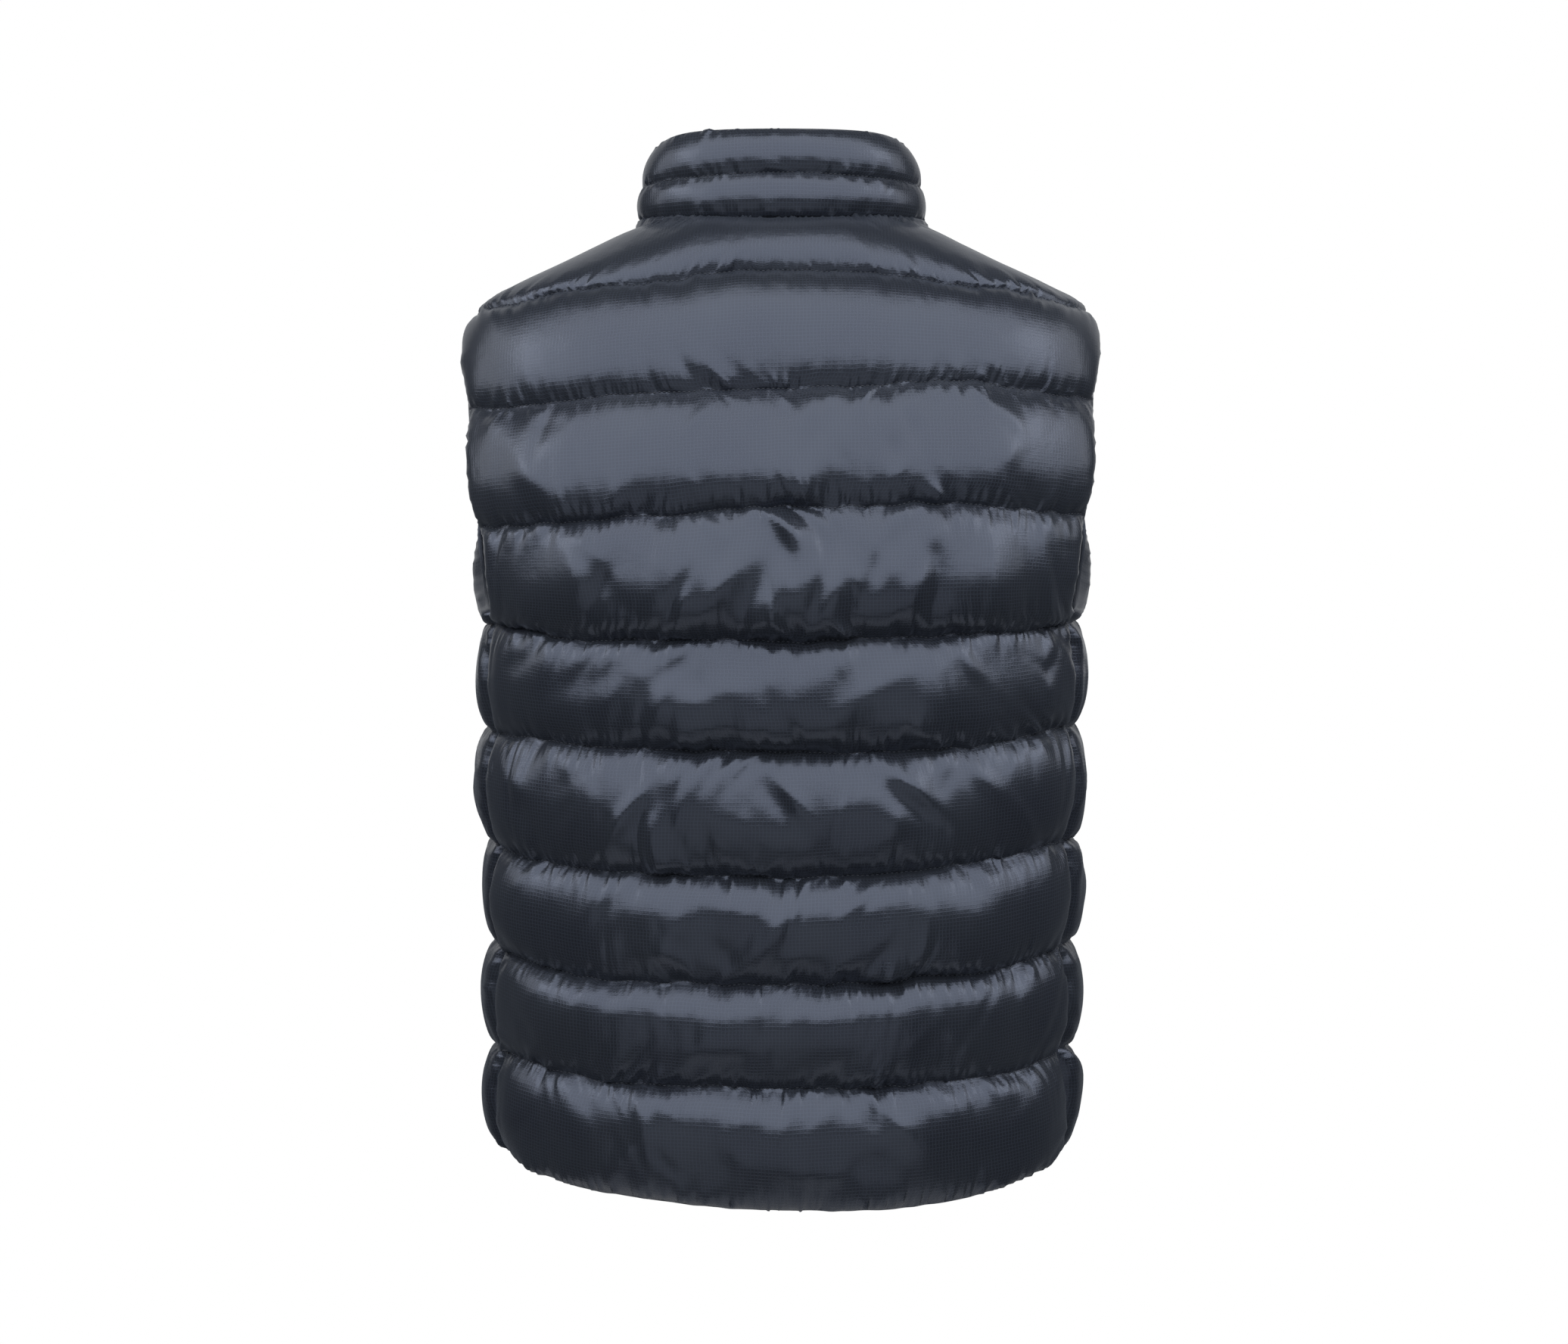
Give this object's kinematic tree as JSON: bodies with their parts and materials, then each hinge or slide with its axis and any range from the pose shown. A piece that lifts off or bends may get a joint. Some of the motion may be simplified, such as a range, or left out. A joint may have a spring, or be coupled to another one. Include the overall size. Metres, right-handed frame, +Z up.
{
  "type": "quilted vest",
  "caption": "Sleeveless padded body warmer with horizontal quilted channels, a quilted stand collar and a full front zip, filled out as if worn.",
  "frame": {"origin": "level with the two neck points, where the shoulder seams meet the collar, midway between them", "axes": "+Z up, +Y towards the vest's back, -Y towards its front zip, +X towards the wearer's left"},
  "size_m": [0.4512, 0.2962, 0.7328],
  "materials": {
    "shell": "satin woven nylon with a fine ripstop grid",
    "zip_tape": "matt woven tape",
    "zip_metal": "semi-gloss black enamel"
  },
  "bodies": {
    "vest": {"back": "shell", "front_left": "shell", "front_right": "shell", "collar": "shell", "zip_tape_left": "zip_tape", "zip_tape_right": "zip_tape", "zip_slider": "zip_metal", "zip_box": "zip_metal"},
    "pull": {"zip_pull": "zip_metal"}
  },
  "joints": [
    {"name": "pull_hinge", "type": "hinge", "parent": "vest", "child": "pull", "pos_m": [0, -0.09718, -0.039], "axis": [1, 0, 0], "range_deg": [-170, 0]}
  ]
}
